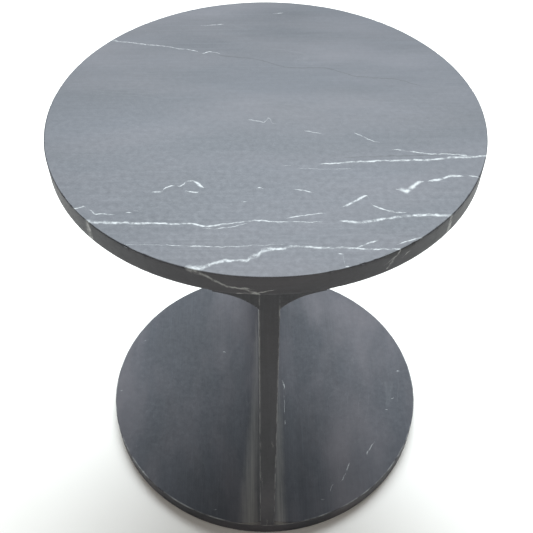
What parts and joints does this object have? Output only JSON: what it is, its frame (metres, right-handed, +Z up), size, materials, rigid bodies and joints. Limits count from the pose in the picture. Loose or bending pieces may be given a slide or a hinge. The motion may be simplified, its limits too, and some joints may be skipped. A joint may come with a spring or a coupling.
{
  "type": "round pedestal side table",
  "caption": "Round side table of black veined marble: equal top and base discs joined by a full-width upright web panel with hollow-curved haunches.",
  "frame": {"origin": "on the floor under the centre of the table", "axes": "+Z up; the web panel stands in the YZ plane, with its flush ends facing -Y (front) and +Y (back)"},
  "size_m": [0.3999, 0.4, 0.46],
  "materials": {
    "black_marble": "honed black marble with white veins",
    "stainless_steel": "turned stainless steel",
    "black_rubber": "moulded matt rubber"
  },
  "bodies": {
    "root": {"top_disc": "black_marble", "base_disc": "black_marble", "web_panel": "black_marble", "top_haunch_left": "black_marble", "top_haunch_right": "black_marble", "base_haunch_left": "black_marble", "base_haunch_right": "black_marble", "top_dowel_1": "stainless_steel", "top_dowel_2": "stainless_steel", "top_dowel_3": "stainless_steel", "top_dowel_4": "stainless_steel", "base_stud_1": "stainless_steel", "base_stud_2": "stainless_steel", "base_stud_3": "stainless_steel", "base_stud_4": "stainless_steel", "base_washer_1": "stainless_steel", "base_washer_2": "stainless_steel", "base_washer_3": "stainless_steel", "base_washer_4": "stainless_steel", "base_nut_1": "stainless_steel", "base_nut_2": "stainless_steel", "base_nut_3": "stainless_steel", "base_nut_4": "stainless_steel", "foot_pad_1": "black_rubber", "foot_pad_2": "black_rubber", "foot_pad_3": "black_rubber", "foot_pad_4": "black_rubber", "foot_pad_5": "black_rubber", "foot_pad_6": "black_rubber"}
  },
  "joints": []
}
